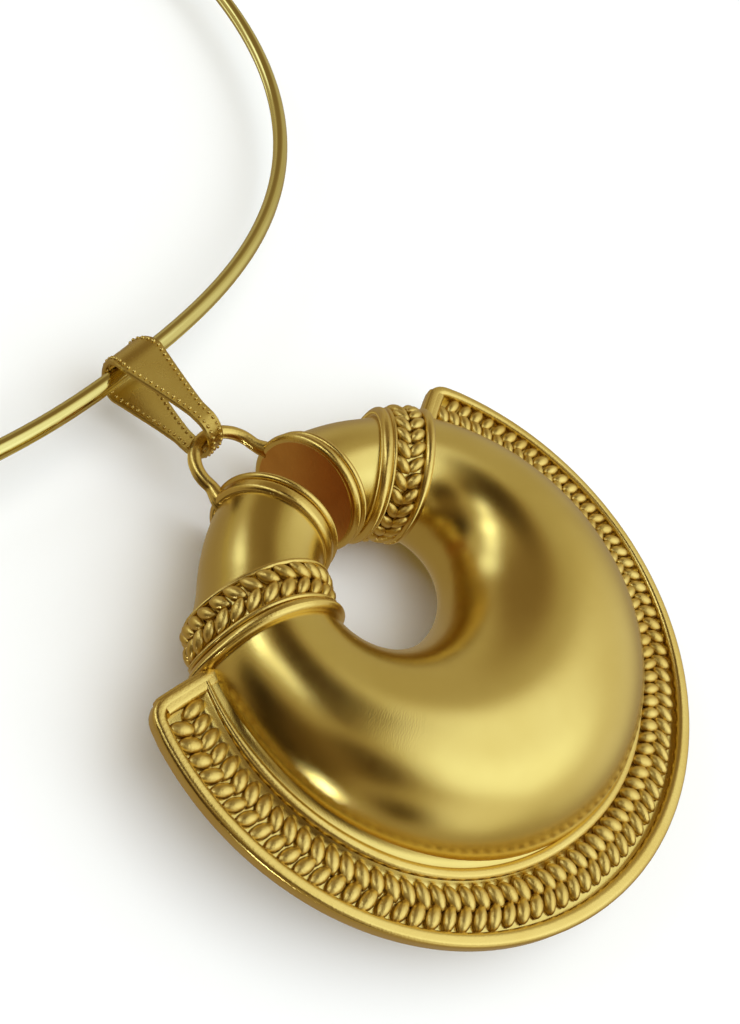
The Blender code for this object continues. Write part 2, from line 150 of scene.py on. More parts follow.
# Each ring: its place along the horn from the band's middle or from the end disc, its
# width and its rise.
BAND_RINGS = {
    -1: (
        (-2.4 * MM, 1.05 * MM, 0.8 * MM),
        (-1.66 * MM, 0.46 * MM, 0.6 * MM),
        (1.68 * MM, 0.46 * MM, 0.55 * MM),
    ),
    1: (
        (-1.95 * MM, 1.0 * MM, 0.7 * MM),
        (1.68 * MM, 0.46 * MM, 0.6 * MM),
        (2.45 * MM, 1.15 * MM, 0.8 * MM),
    ),
}
END_RINGS = {
    -1: ((0.08 * MM, 0.7 * MM, 0.62 * MM), (-0.85 * MM, 1.25 * MM, 0.52 * MM)),
    1: ((-0.42 * MM, 0.9 * MM, 0.62 * MM), (-1.15 * MM, 0.62 * MM, 0.52 * MM)),
}
RING_SINK = 0.35 * MM
RING_POINTS = 120

# Grains of the braids: how much each one's turn and size may drift.
GRAIN_SEGMENTS = 12
GRAIN_RINGS = 8
GRAIN_TURNS = (0.05, 0.05, 0.09)
GRAIN_SIZES = ((0.94, 0.92, 0.90), (1.05, 1.08, 1.06))

# Loop and bail.
HORN_TIP_Y = 21.568 * MM
LOOP_WIRE_DIAMETER = 1.2 * MM
LOOP_HALF_WIDTH = 3.3 * MM
LOOP_LEG = 1.6 * MM
LOOP_RISE = 3.2 * MM
LOOP_ROOT = 0.6 * MM
LOOP_SPREAD = 0.6 * MM
LOOP_FLARE = 0.35
LOOP_LEG_POINTS = 10
LOOP_ARCH_POINTS = 32
BAIL_FOOT_Y = 27.318 * MM
BAIL_TOP_Y = 34.678 * MM
BAIL_WIDTH = 5.1 * MM
BAIL_NECK_WIDTH = 2.0 * MM
BAIL_NECK_SHARE = 0.12
BAIL_TAPER = 1.15
BAIL_FOOT_SLIDE = 0.4 * MM
BAIL_TOP_SLIDE = 1.05 * MM
BAIL_STRIP = 0.42 * MM
BAIL_TOP_BORE = 1.9 * MM
BAIL_FOOT_BORE = 1.9 * MM
BAIL_BEND_POINTS = 28
BAIL_LEAF_POINTS = 24
BAIL_TOP_ROUNDING = 0.45 * MM
BAIL_CORNER = 0.1 * MM
BEAD_INSET = 0.48 * MM
BEAD_RADIUS = 0.19 * MM
BEAD_SPACING = 0.56 * MM
BEAD_SIZES = (0.82, 1.12)

# Angles above which an edge stays sharp.
PENDANT_SHARP = math.radians(50)
BAIL_SHARP = math.radians(40)

# Each finish: colour, deeper colour, roughness, strength of its grain and size of it.
FINISHES = {
    "satin_gold": ((0.69, 0.52, 0.16), (0.64, 0.47, 0.13), 0.21, 0.20, 0.10 * MM),
    "rim_gold": ((0.72, 0.53, 0.16), (0.66, 0.46, 0.12), 0.25, 0.30, 0.20 * MM),
    "braid_gold": ((0.76, 0.56, 0.17), (0.66, 0.45, 0.11), 0.34, 0.60, 0.16 * MM),
    # The end discs' darker, redder gold is painted shade for their recess inside the lips, where
    # they face each other across the gap.
    "disc_gold": ((0.74, 0.38, 0.09), (0.56, 0.26, 0.05), 0.42, 0.5, 0.25 * MM),
    "strip_gold": ((0.62, 0.46, 0.13), (0.52, 0.35, 0.08), 0.27, 0.30, 0.10 * MM),
    "wire_gold": ((0.70, 0.59, 0.22), (0.64, 0.52, 0.17), 0.12, 0.06, 0.30 * MM),
}
COLOUR_DRIFT_SIZE = 6.0 * MM
COLOUR_DRIFT_SPAN = (0.3, 0.8)
POLISH_DRIFT_SIZE = 1.6 * MM
POLISH_DRIFT_SPAN = (0.82, 1.18)
GRAIN_DEPTH = 0.05 * MM

# Camera, from the fit of the flange's circle in the photograph.
CAMERA_FROM_PENDANT = (-59.4 * MM, 11.2 * MM, 73.8 * MM)
CAMERA_RIGHT = (0.484, -0.767, 0.421)
CAMERA_UP = (0.580, 0.642, 0.502)
CAMERA_LENS = 38.67
CAMERA_SENSOR = 36.0
CAMERA_CLIP_START = 5.0 * MM

# Studio: an overhead softbox, with its aim in degrees and its size in metres, and paper.
SOFTBOX_AIM = (-100, 75)
SOFTBOX_SIDE = 1.5
SOFTBOX_DISTANCE = 1.1
SOFTBOX_POWER = 9.0
FLOOR_HALF = 6.0
PAPER_COLOUR = (0.93, 0.93, 0.92, 1.0)
PAPER_ROUGHNESS = 0.9
# Soft panels and dark gaps: compass angle, height, inner and outer half angle, brightness.
SURROUND_LEVEL = 0.72
SURROUND = (
    (0, -90, 60, 95, 0.5),
    (-60, 35, 26, 54, 1.15),
    (-85, 52, 20, 38, 1.85),
    (-45, 65, 12, 30, 1.6),
    (-115, 15, 8, 24, 1.3),
    (60, 36, 12, 34, 0.34),
    (85, 72, 8, 26, 0.07),
    (150, 68, 5, 16, 0.12),
    (166, 9, 16, 38, 0.15),
    (146, 12, 6, 20, 0.035),
    (163, -5, 6, 16, 0.05),
    (-165, 40, 8, 24, 0.10),
    (-178, 30, 3, 14, 0.26),
    (-145, 7, 5, 16, 0.08),
    (92, 15, 4, 13, 2.0),
    (105, 28, 4, 10, 2.2),
    (118, 39, 4, 10, 4.0),
    (133, 53, 2, 8, 3.0),
    (-172, -14, 2, 5, 32.0),
)
# Dim corners reflect warm, bright panels cool.
SURROUND_BRIGHT = 2.0
SURROUND_TINTS = (
    (0.1, (0.77, 0.47, 0.17)),
    (0.75, (0.77, 0.72, 0.52)),
    (1.8, (0.77, 0.88, 1.0)),
)


def smooth_step(share):
    share = min(1.0, max(0.0, share))
    return share * share * (3 - 2 * share)


def shares(count):
    """Evenly spaced numbers from 0 to 1, both ends included."""
    return [step / count for step in range(count + 1)]


# Geometry Nodes.


class Tree:
    """A Geometry Nodes tree with named inputs, and short ways to add and link nodes."""

    def __init__(self, name, inputs):
        self.group = bpy.data.node_groups.new(name, "GeometryNodeTree")
        sockets = self.group.interface
        sockets.new_socket("Geometry", in_out="INPUT", socket_type="NodeSocketGeometry")
        sockets.new_socket("Geometry", in_out="OUTPUT", socket_type="NodeSocketGeometry")
        for label, kind in inputs:
            sockets.new_socket(label, in_out="INPUT", socket_type="NodeSocket" + kind)
        self.given = self.group.nodes.new("NodeGroupInput").outputs
        self.result = self.group.nodes.new("NodeGroupOutput").inputs[0]

    def add(self, kind, links=None, **settings):
        """Add a node; links maps its input names or numbers to sockets or plain values."""
        node = self.group.nodes.new(kind)
        for name, value in settings.items():
            setattr(node, name, value)
        for key, value in (links or {}).items():
            if isinstance(value, bpy.types.NodeSocket):
                self.group.links.new(value, node.inputs[key])
            else:
                node.inputs[key].default_value = value
        return node

    def out(self, kind, links=None, output=0, **settings):
        return self.add(kind, links, **settings).outputs[output]

    def calc(self, operation, *values):
        return self.out("ShaderNodeMath", dict(enumerate(values)), operation=operation)

    def vector(self, operation, *values):
        return self.out("ShaderNodeVectorMath", dict(enumerate(values)), operation=operation)

    def scaled(self, vector, factor):
        links = {0: vector, "Scale": factor}
        return self.out("ShaderNodeVectorMath", links, operation="SCALE")

    def attribute(self, name, data_type):
        links = {"Name": name}
        return self.out("GeometryNodeInputNamedAttribute", links, data_type=data_type)

    def end(self, geometry):
        """Close the tree: real geometry, smooth, with the material input set."""
        smooth = self.out("GeometryNodeSetShadeSmooth", {"Geometry": geometry})
        real = self.out("GeometryNodeRealizeInstances", {"Geometry": smooth})
        links = {"Geometry": real, "Material": self.given["Material"]}
        painted = self.out("GeometryNodeSetMaterial", links)
        self.group.links.new(painted, self.result)
        return self.group


def skin_normal_curve(tree, curve):
    """Turn a path's curve so that its normals follow the skin_normal attribute."""
    normal = tree.attribute("skin_normal", "FLOAT_VECTOR")
    links = {"Curve": curve, "Normal": normal}
    return tree.out("GeometryNodeSetCurveNormal", links, mode="FREE")


def sweep_tree():
    """A rounded bar along a path: Height stands off the skin, Width lies across the path."""
    tree = Tree(
        "sweep along path",
        [
            ("Height", "Float"),
            ("Width", "Float"),
            ("Corner", "Float"),
            ("Corner Points", "Int"),
            ("Material", "Material"),
        ],
    )
    given = tree.given
    curve = tree.out("GeometryNodeMeshToCurve", {"Mesh": given["Geometry"]})
    curve = skin_normal_curve(tree, curve)
    size = {"Width": given["Height"], "Height": given["Width"]}
    outline = tree.out("GeometryNodeCurvePrimitiveQuadrilateral", size)
    fillet = {
        "Curve": outline,
        "Radius": given["Corner"],
        "Limit Radius": True,
        "Count": given["Corner Points"],
    }
    section = tree.out("GeometryNodeFilletCurve", fillet, mode="POLY")
    swept = {
        "Curve": curve,
        "Profile Curve": section,
        "Scale": tree.attribute("swell", "FLOAT"),
        "Fill Caps": True,
    }
    return tree.end(tree.out("GeometryNodeCurveToMesh", swept))


def braid_tree():
    """Plump plaited strands: one grain after another along a path, each turned by a slant."""
    tree = Tree(
        "plaited strands along path",
        [
            ("Strands", "Int"),
            ("Length", "Float"),
            ("Width", "Float"),
            ("Height", "Float"),
            ("Slant", "Float"),
            ("Point", "Float"),
            ("Seed", "Int"),
            ("Material", "Material"),
        ],
    )
    given = tree.given
    curve = tree.out("GeometryNodeMeshToCurve", {"Mesh": given["Geometry"]})
    links = {"Curve": curve, "Count": given["Strands"]}
    places = tree.out("GeometryNodeCurveToPoints", links, mode="COUNT")
    normal = tree.attribute("skin_normal", "FLOAT_VECTOR")
    way = tree.attribute("way", "FLOAT_VECTOR")
    links = {"Primary Axis": normal, "Secondary Axis": way}
    settings = {"primary_axis": "Z", "secondary_axis": "X"}
    facing = tree.out("FunctionNodeAxesToRotation", links, **settings)
    least = [-turn for turn in GRAIN_TURNS]
    links = {"Min": least, "Max": GRAIN_TURNS, "Seed": given["Seed"]}
    drift = tree.out("FunctionNodeRandomValue", links, data_type="FLOAT_VECTOR")
    slant = tree.out("ShaderNodeCombineXYZ", {"Z": given["Slant"]})
    turned = tree.out("FunctionNodeEulerToRotation", {0: tree.vector("ADD", slant, drift)})
    links = {"Rotation": facing, "Rotate By": turned}
    facing = tree.out("FunctionNodeRotateRotation", links, rotation_space="LOCAL")
    links = {"Segments": GRAIN_SEGMENTS, "Rings": GRAIN_RINGS, "Radius": 0.5}
    ball = tree.out("GeometryNodeMeshUVSphere", links)
    along_x = {"Geometry": ball, "Rotation": (0.0, math.pi / 2, 0.0)}
    grain = tree.out("GeometryNodeTransform", along_x)
    place = tree.out("GeometryNodeInputPosition")
    parts = tree.add("ShaderNodeSeparateXYZ", {0: place}).outputs
    reach = tree.calc("MULTIPLY", parts["X"], 2.0)
    slim = tree.calc("SUBTRACT", 1.0, tree.calc("MULTIPLY", reach, reach))
    slim = tree.calc("POWER", tree.calc("MAXIMUM", slim, 0.0), given["Point"])
    across = tree.calc("MULTIPLY", parts["Y"], slim)
    rise = tree.calc("MULTIPLY", parts["Z"], slim)
    links = {
        "X": tree.calc("MULTIPLY", parts["X"], given["Length"]),
        "Y": tree.calc("MULTIPLY", across, given["Width"]),
        "Z": tree.calc("MULTIPLY", rise, given["Height"]),
    }
    moved = tree.out("ShaderNodeCombineXYZ", links)
    grain = tree.out("GeometryNodeSetPosition", {"Geometry": grain, "Position": moved})
    links = {"Min": GRAIN_SIZES[0], "Max": GRAIN_SIZES[1], "Seed": given["Seed"]}
    size = tree.out("FunctionNodeRandomValue", links, data_type="FLOAT_VECTOR")
    links = {"Points": places, "Instance": grain, "Rotation": facing, "Scale": size}
    return tree.end(tree.out("GeometryNodeInstanceOnPoints", links))


def bead_tree():
    """A row of small round beads along a path, each of a slightly different size."""
    tree = Tree(
        "beads along path",
        [
            ("Spacing", "Float"),
            ("Bead Radius", "Float"),
            ("Seed", "Int"),
            ("Material", "Material"),
        ],
    )
    given = tree.given
    curve = tree.out("GeometryNodeMeshToCurve", {"Mesh": given["Geometry"]})
    links = {"Curve": curve, "Length": given["Spacing"]}
    places = tree.out("GeometryNodeResampleCurve", links, mode="LENGTH")
    links = {"Radius": given["Bead Radius"], "Subdivisions": 2}
    bead = tree.out("GeometryNodeMeshIcoSphere", links)
    links = {"Min": BEAD_SIZES[0], "Max": BEAD_SIZES[1], "Seed": given["Seed"]}
    size = tree.out("FunctionNodeRandomValue", links, output=1, data_type="FLOAT")
    links = {"Points": places, "Instance": bead, "Scale": size}
    return tree.end(tree.out("GeometryNodeInstanceOnPoints", links))


def horn_tree():
    """The horn's skin: at each station of a path, an oval with its own width and depths."""
    tree = Tree(
        "horn skin",
        [("Sides", "Int"), ("Axis Height", "Float"), ("Material", "Material")],
    )
    given = tree.given
    curve = tree.out("GeometryNodeMeshToCurve", {"Mesh": given["Geometry"]})
    section = tree.out("GeometryNodeCurvePrimitiveCircle", {"Resolution": given["Sides"]})
    factor = tree.out("GeometryNodeSplineParameter")
    turn = tree.calc("MULTIPLY", factor, -2 * math.pi)
    turn = tree.calc("ADD", turn, math.pi / 2)
    store = {"Geometry": section, "Name": "turn", "Value": turn}
    section = tree.out("GeometryNodeStoreNamedAttribute", store, data_type="FLOAT")
    swept = {"Curve": curve, "Profile Curve": section, "Fill Caps": True}
    skin = tree.out("GeometryNodeCurveToMesh", swept)
    turn = tree.attribute("turn", "FLOAT")
    lift = tree.calc("SINE", turn)
    front = tree.attribute("front", "FLOAT")
    back = tree.attribute("back", "FLOAT")
    on_front = tree.calc("MULTIPLY", tree.calc("MAXIMUM", lift, 0.0), front)
    on_back = tree.calc("MULTIPLY", tree.calc("MINIMUM", lift, 0.0), back)
    height = tree.calc("ADD", on_front, on_back)
    height = tree.calc("ADD", height, given["Axis Height"])
    half_width = tree.attribute("half_width", "FLOAT")
    reach = tree.calc("MULTIPLY", half_width, tree.calc("COSINE", turn))
    flat = tree.scaled(tree.attribute("across", "FLOAT_VECTOR"), reach)
    flat = tree.vector("ADD", flat, tree.attribute("middle", "FLOAT_VECTOR"))
    rise = tree.out("ShaderNodeCombineXYZ", {"Z": height})
    links = {"Geometry": skin, "Position": tree.vector("ADD", flat, rise)}
    return tree.end(tree.out("GeometryNodeSetPosition", links))


def path_object(name, points, closed=False, **attributes):
    """A row of edges through points, with one value of each attribute for each point."""
    mesh = bpy.data.meshes.new(name)
    count = len(points)
    edges = [(index, index + 1) for index in range(count - 1)]
    if closed:
        edges.append((count - 1, 0))
    mesh.from_pydata([tuple(point) for point in points], edges, [])
    attributes.setdefault("swell", [1.0] * count)
    for label, values in attributes.items():
        values = np.array(values)
        kind, field = ("FLOAT_VECTOR", "vector") if values.ndim == 2 else ("FLOAT", "value")
        layer = mesh.attributes.new(label, kind, "POINT")
        layer.data.foreach_set(field, values.ravel().astype(np.float32))
    item = bpy.data.objects.new(name, mesh)
    bpy.context.scene.collection.objects.link(item)
    return item


def run_tree(item, group, **values):
    """Run a tree on a path object and return the plain mesh; the path is removed."""
    modifier = item.modifiers.new(group.name, "NODES")
    modifier.node_group = group
    for socket in group.interface.items_tree:
        label = socket.name.lower().replace(" ", "_")
        if socket.in_out == "INPUT" and label in values:
            modifier[socket.identifier] = values.pop(label)
    if values:
        raise ValueError(f"{group.name} has no input for {sorted(values)}")
    bpy.context.view_layer.update()
    evaluated = item.evaluated_get(bpy.context.evaluated_depsgraph_get())
    mesh = bpy.data.meshes.new_from_object(evaluated)
    bpy.data.objects.remove(item, do_unlink=True)
    return mesh


def swept_bar(sweep, path, height, width, material, corner=None, corner_points=6):
    """A bar along a path; its edges are fully round unless it has a corner of its own."""
    return run_tree(
        path,
        sweep,
        height=height,
        width=width,
        corner=corner or min(height, width) / 2,
        corner_points=corner_points,
        material=material,
    )


def plaited_row(braid, path, strands, grain, slant, point, seed, material):
    """A row of plaited strands along a path; grain is a strand's length, width, height."""
    length, width, height = grain
    return run_tree(
        path,
        braid,
        strands=strands,
        length=length,
        width=width,
        height=height,
        slant=slant,
        point=point,
        seed=seed,
        material=material,
    )


# Plain meshes.


def loft_mesh(name, rings, material, closed=False):
    """Skin a row of rings with flat ends, or join the last ring to the first."""
    sides = len(rings[0])
    count = len(rings)
    points = [tuple(point) for ring in rings for point in ring]
    faces = []
    for step in range(count if closed else count - 1):
        near, far = step * sides, (step + 1) % count * sides
        for index in range(sides):
            after = (index + 1) % sides
            faces.append((near + index, far + index, far + after, near + after))
    if not closed:
        faces.append(tuple(range(sides)))
        faces.append(tuple(reversed(range((count - 1) * sides, count * sides))))
    mesh = bpy.data.meshes.new(name)
    mesh.from_pydata(points, [], faces)
    mesh.materials.append(material)
    return mesh


PATH_NOTES = (
    "skin_normal",
    "way",
    "swell",
    "turn",
    "front",
    "back",
    "half_width",
    "across",
    "middle",
)


def joined(name, meshes, sharp_angle=None):
    """One piece out of several meshes, at the origin, with nothing below the table."""
    items = []
    for mesh in meshes:
        item = bpy.data.objects.new(name, mesh)
        bpy.context.scene.collection.objects.link(item)
        items.append(item)
    with bpy.context.temp_override(
        active_object=items[0],
        object=items[0],
        selected_objects=items,
        selected_editable_objects=items,
    ):
        if len(items) > 1:
            bpy.ops.object.join()
    piece = items[0]
    piece.name = name
    for label in [layer.name for layer in piece.data.attributes if not layer.is_internal]:
        if label in PATH_NOTES:
            piece.data.attributes.remove(piece.data.attributes[label])
    for vertex in piece.data.vertices:
        vertex.co.z = max(vertex.co.z, 0.0)
    piece.data.shade_smooth()
    if sharp_angle:
        piece.data.set_sharp_from_angle(angle=sharp_angle)
    return piece


def dress(piece, slot, *nodes):
    """Hang a finished piece on the body, in place of its CAD nodes."""
    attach(piece, BODY)
    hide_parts(*nodes)


# The object's own curves, as in the part's source.


def pendant_point(across, along, height):
    return Vector((across - PENDANT_SLIDE, along + PENDANT_Y, height))


def direction(angle):
    return Vector((math.sin(angle), -math.cos(angle), 0.0))


def flange_point(angle, inset, height):
    """A place on the flange; its tips are cut at a slant."""
    place = angle + math.copysign(FLANGE_TIP_SLANT, angle) * (
        abs(angle) / FLANGE_REACH * inset / FLANGE_WIDTH
    )
    edge = FLANGE_RADIUS + FLANGE_SPLAY * (place / FLANGE_REACH) ** 2 - inset
    flat = direction(place) * edge
    return pendant_point(flat.x, flat.y, height)


def horn_outer_edge(angle):
    turn = math.asin(HOLE_OFFSET * math.sin(angle) / HORN_RADIUS)
    twist = (angle / HORN_REACH) ** HORN_END_TWIST_POWER
    outer_angle = angle + turn + math.copysign(HORN_END_TWIST, angle) * twist
    share = abs(outer_angle) / FLANGE_REACH
    past_shoulder = (abs(outer_angle) - HORN_SHOULDER_REACH) / HORN_SHOULDER_FADE
    shoulder = min(1.0, share ** 2) * (1 - smooth_step(past_shoulder))
    edge = HORN_RADIUS + HORN_SPLAY * share ** 2 + HORN_SHOULDER * shoulder
    return direction(outer_angle) * edge


def horn_inner_edge(angle):
    across = HOLE_HALF_WIDTH * math.sin(angle)
    along = HOLE_OFFSET - HOLE_HALF_LENGTH * math.cos(angle)
    return Vector((across, along, 0.0))


def horn_section(angle):
    """Middle, half width, direction across, and front and back depth of the horn."""
    inner = horn_inner_edge(angle)
    outer = horn_outer_edge(angle)
    half_width = (outer - inner).length / 2
    fullness = ((1 + math.cos(angle)) / 2) ** HORN_TAPER
    front = HORN_END_FRONT + (HORN_FRONT - HORN_END_FRONT) * fullness
    back = HORN_END_BACK + (HORN_BACK - HORN_END_BACK) * fullness
    return (inner + outer) / 2, half_width, (outer - inner).normalized(), front, back


def horn_point(angle, turn, rise):
    middle, half_width, across, front, back = horn_section(angle)
    depth = front if math.sin(turn) >= 0 else back
    flat = middle + across * (half_width + rise) * math.cos(turn)
    return pendant_point(flat.x, flat.y, HORN_AXIS_HEIGHT + (depth + rise) * math.sin(turn))


def skin_normal(angle, turn):
    across = horn_section(angle)[2]
    return across * math.cos(turn) + Vector((0.0, 0.0, math.sin(turn)))


def place_along_horn(angle, turn, distance):
    """Angle reached on the horn's skin, a distance along it from a ring at an angle."""
    middle, half_width, across, _, _ = horn_section(angle)
    skin = middle + across * half_width * math.cos(turn)
    return angle + distance / (skin - Vector((0.0, HOLE_OFFSET, 0.0))).length


def ring_round_horn(name, side, place, along, rise):
    """A closed path round the horn."""
    points = []
    normals = []
    for step in range(RING_POINTS):
        turn = 2 * math.pi * step / RING_POINTS
        distance = along + (band_lean(turn) if place == BAND_PLACE else 0.0)
        angle = side * place_along_horn(place, turn, distance)
        points.append(horn_point(angle, turn, rise))
        normals.append(skin_normal(angle, turn))
    return path_object(name, points, True, skin_normal=normals, way=ways(points, True))


def ways(points, closed=False):
    """The way a row of points runs, at each of them."""
    count = len(points)
    found = []
    for index in range(count):
        before = points[(index - 1) % count if closed else max(index - 1, 0)]
        after = points[(index + 1) % count if closed else min(index + 1, count - 1)]
        found.append((after - before).normalized())
    return found


def band_lean(turn):
    """How far a band's rings swing towards the pendant's foot, most on the horn's outside."""
    outward = math.cos(turn)
    return -BAND_LEAN * outward - BAND_BOW * outward ** 2


# The crescent pendant.


def make_horn(tree, material, disc_material):
    """The horn from one end disc to the other; the discs take a darker, redder gold that paints
    the shade in their recess.
    """
    sections = [horn_section(HORN_REACH * (2 * share - 1)) for share in shares(HORN_STATIONS)]
    middles, half_widths, acrosses, fronts, backs = zip(*sections)
    middles = [pendant_point(middle.x, middle.y, 0.0) for middle in middles]
    path = path_object(
        "horn_path",
        middles,
        middle=middles,
        half_width=half_widths,
        across=acrosses,
        front=fronts,
        back=backs,
    )
    mesh = run_tree(path, tree, sides=HORN_SIDES, axis_height=HORN_AXIS_HEIGHT, material=material)
    mesh.materials.append(disc_material)
    for face in mesh.polygons:
        if len(face.vertices) == HORN_SIDES:
            face.material_index = 1
    return mesh


def horn_ring(name, sweep, side, place, ring, material, corner_points):
    """A rounded ring round the horn, sunk a little into its skin."""
    along, width, rise = ring
    path = ring_round_horn(name, side, place, along, (rise - RING_SINK) / 2)
    return swept_bar(sweep, path, rise + RING_SINK, width, material, None, corner_points)


def make_end_rims(sweep, material):
    """A lip round each end disc, and a second bead behind it."""
    return [
        horn_ring("end_rim", sweep, side, HORN_REACH, ring, material, 6)
        for side in (-1, 1)
        for ring in END_RINGS[side]
    ]


def make_band(sweep, braid, side, ring_material, braid_material):
    """The band's plain rings and its two rows of plaited strands."""
    meshes = [
        horn_ring("band_ring", sweep, side, BAND_PLACE, ring, ring_material, 5)
        for ring in BAND_RINGS[side]
    ]
    for row_side in (-1, 1):
        along = row_side * BAND_ROW_WIDTH / 2
        path = ring_round_horn("band_row", side, BAND_PLACE, along, BAND_GRAIN_RISE)
        slant = side * row_side * BAND_GRAIN_SLANT
        seed = 20 + 2 * side + row_side
        row = (path, BAND_STRANDS, BAND_GRAIN, slant, BAND_GRAIN_POINT, seed)
        meshes.append(plaited_row(braid, *row, braid_material))
    return meshes


def foot_widening(angle):
    """How much further in the rows and the band lie, round the pendant's foot."""
    return FOOT_WIDENING * (1 - smooth_step((abs(angle) - FOOT_REACH) / FOOT_FADE))


def flange_section(angle):
    """Points across the plate: distance in from the edge, and height; it meets the horn."""
    back = FLANGE_FACE - FLANGE_THICKNESS
    floor = FLANGE_FACE - CHANNEL_DEPTH
    band = INNER_BAND_PLACE + foot_widening(angle)
    rise = MM * (1 - smooth_step((abs(angle) - FILLET_REACH) / FILLET_FADE))
    return [
        (PLATE_EDGE, back),
        (PLATE_EDGE, floor),
        *((band - before * MM, floor + height * MM) for before, height in CHANNEL_SLOPE),
        (band, FLANGE_FACE),
        *((band + past * MM, FLANGE_FACE + height * rise) for past, height in HORN_FILLET),
        (band + PLATE_ROOT, back),
    ]


def make_flange_plate(material):
    reach = FLANGE_REACH - PLATE_END_SHARE * TIP_RIM_WIDTH / FLANGE_RADIUS
    rings = []
    for share in shares(FLANGE_STATIONS):
        angle = reach * (2 * share - 1)
        section = flange_section(angle)
        rings.append([flange_point(angle, inset, height) for inset, height in section])
    return loft_mesh("flange_plate", rings, material)


def rounded_corner(before, corner, after, radius, count=8):
    """A curve that leaves a row of points for another one near their corner."""
    start = corner + (before - corner).normalized() * radius
    end = corner + (after - corner).normalized() * radius
    return [
        start * (1 - share) ** 2 + corner * 2 * share * (1 - share) + end * share ** 2
        for share in shares(count)
    ]


def rim_tip(side, reach, height):
    """The rim's middle line from its root along the cut of a tip, round the corner."""
    half = RIM_WIDTH / 2
    root = flange_point(side * reach, FLANGE_WIDTH + half, height)
    corner = flange_point(side * reach, half, height)
    edge = flange_point(side * (reach - RIM_CORNER_AIM), half, height)
    return [root] + rounded_corner(root, corner, edge, RIM_CORNER)


def flange_bar(sweep, points, swells, height, width, material):
    normals = [Vector((0.0, 0.0, 1.0))] * len(points)
    path = path_object("flange_bar", points, skin_normal=normals, swell=swells)
    return swept_bar(sweep, path, height, width, material, BAR_CORNER)


def make_flange_rim(sweep, material):
    """The rim turns in along the cut of each tip; it is wider there and round the foot."""
    half = RIM_WIDTH / 2
    reach = FLANGE_REACH - half / FLANGE_RADIUS
    size = FLANGE_THICKNESS + RIM_CREST
    middle = FLANGE_FACE + RIM_CREST - size / 2
    points = rim_tip(-1, reach, middle)
    swells = [1.0] * len(points)
    for share in shares(FLANGE_STATIONS)[1:-1]:
        angle = (reach - RIM_SIDE_START) * (2 * share - 1)
        swell = 1 + RIM_FOOT_SWELL * foot_widening(angle) / FOOT_WIDENING
        height = FLANGE_FACE + RIM_CREST - swell * size / 2
        points.append(flange_point(angle, swell * half, height))
        swells.append(swell)
    last = rim_tip(1, reach, middle)[::-1]
    points += last
    swells += [1.0] * len(last)
    meshes = [flange_bar(sweep, points, swells, size, RIM_WIDTH, material)]

    tip = FLANGE_REACH - TIP_RIM_WIDTH / 2 / FLANGE_RADIUS
    length = FLANGE_ROOT - TIP_BAR_START
    insets = [TIP_BAR_START + length * share for share in shares(TIP_BAR_POINTS)]
    swells = [1.0] * len(insets)
    height = size - TIP_BAR_DROP
    for side in (-1, 1):
        points = [flange_point(side * tip, inset, middle) for inset in insets]
        meshes.append(flange_bar(sweep, points, swells, height, TIP_RIM_WIDTH, material))
    return meshes


def flange_path(name, inset, height, reach, **notes):
    angles = [reach * (2 * share - 1) for share in shares(FLANGE_STATIONS)]
    points = [flange_point(angle, inset + foot_widening(angle), height) for angle in angles]
    normals = [Vector((0.0, 0.0, 1.0))] * len(points)
    return path_object(name, points, skin_normal=normals, way=ways(points), **notes)


def make_inner_band(sweep, material):
    """The smooth band between the braid and the horn; it dies away into the tips' rims."""
    height = FLANGE_FACE + INNER_BAND_RISE - INNER_BAND_DEPTH / 2
    reach = FLANGE_REACH - INNER_BAND_END_SHARE * TIP_RIM_WIDTH / FLANGE_RADIUS
    swells = []
    for share in shares(FLANGE_STATIONS):
        end = smooth_step(min(share, 1 - share) / INNER_BAND_FADE)
        swells.append(INNER_BAND_END_SWELL + (1 - INNER_BAND_END_SWELL) * end)
    path = flange_path("inner_band", INNER_BAND_PLACE, height, reach, swell=swells)
    return swept_bar(sweep, path, INNER_BAND_DEPTH, INNER_BAND_WIDTH, material, BAR_CORNER)


def make_flange_braid(braid, material):
    """Two rows of strands that interlock, the outer one half a strand behind the inner."""
    meshes = []
    reach = FLANGE_REACH - (TIP_RIM_WIDTH + FLANGE_GRAIN[1] / 2) / FLANGE_RADIUS
    half_pitch = reach / (FLANGE_STRANDS - 1)
    height = FLANGE_FACE - CHANNEL_DEPTH + FLANGE_GRAIN_LIFT
    for behind, inset, way in zip((1, 0), FLANGE_ROWS, (1, -1)):
        path = flange_path("flange_row", inset, height, reach - behind * half_pitch)
        slant = way * FLANGE_GRAIN_SLANT
        seed = 10 + way
        row = (path, FLANGE_STRANDS - behind, FLANGE_GRAIN, slant, FLANGE_GRAIN_POINT, seed)
        meshes.append(plaited_row(braid, *row, material))
    return meshes


def make_loop(sweep, material):
    """The arch between the horns, with feet that spread into the end rims."""
    spring_y = HORN_TIP_Y + LOOP_LEG
    leg = []
    for share in shares(LOOP_LEG_POINTS)[:-1]:
        along = HORN_TIP_Y - LOOP_ROOT + (LOOP_LEG + LOOP_ROOT) * share
        leg.append((LOOP_HALF_WIDTH + LOOP_SPREAD * (1 - smooth_step(share)), along))
    arch = []
    for share in shares(LOOP_ARCH_POINTS):
        turn = math.pi * share
        arch.append((LOOP_HALF_WIDTH * math.cos(turn), spring_y + LOOP_RISE * math.sin(turn)))
    other_leg = [(-across, along) for across, along in leg[::-1]]
    places = leg + arch + other_leg
    points = [pendant_point(across, along, HORN_AXIS_HEIGHT) for across, along in places]
    roots = [(along - HORN_TIP_Y + LOOP_ROOT / 3) / LOOP_LEG for _, along in places]
    swell = [1.0 + LOOP_FLARE * (1 - smooth_step(root)) for root in roots]
    normals = [Vector((0.0, 0.0, 1.0))] * len(points)
    path = path_object("loop", points, skin_normal=normals, swell=swell)
    size = LOOP_WIRE_DIAMETER
    return swept_bar(sweep, path, size, size, material, corner_points=5)


# The bail.


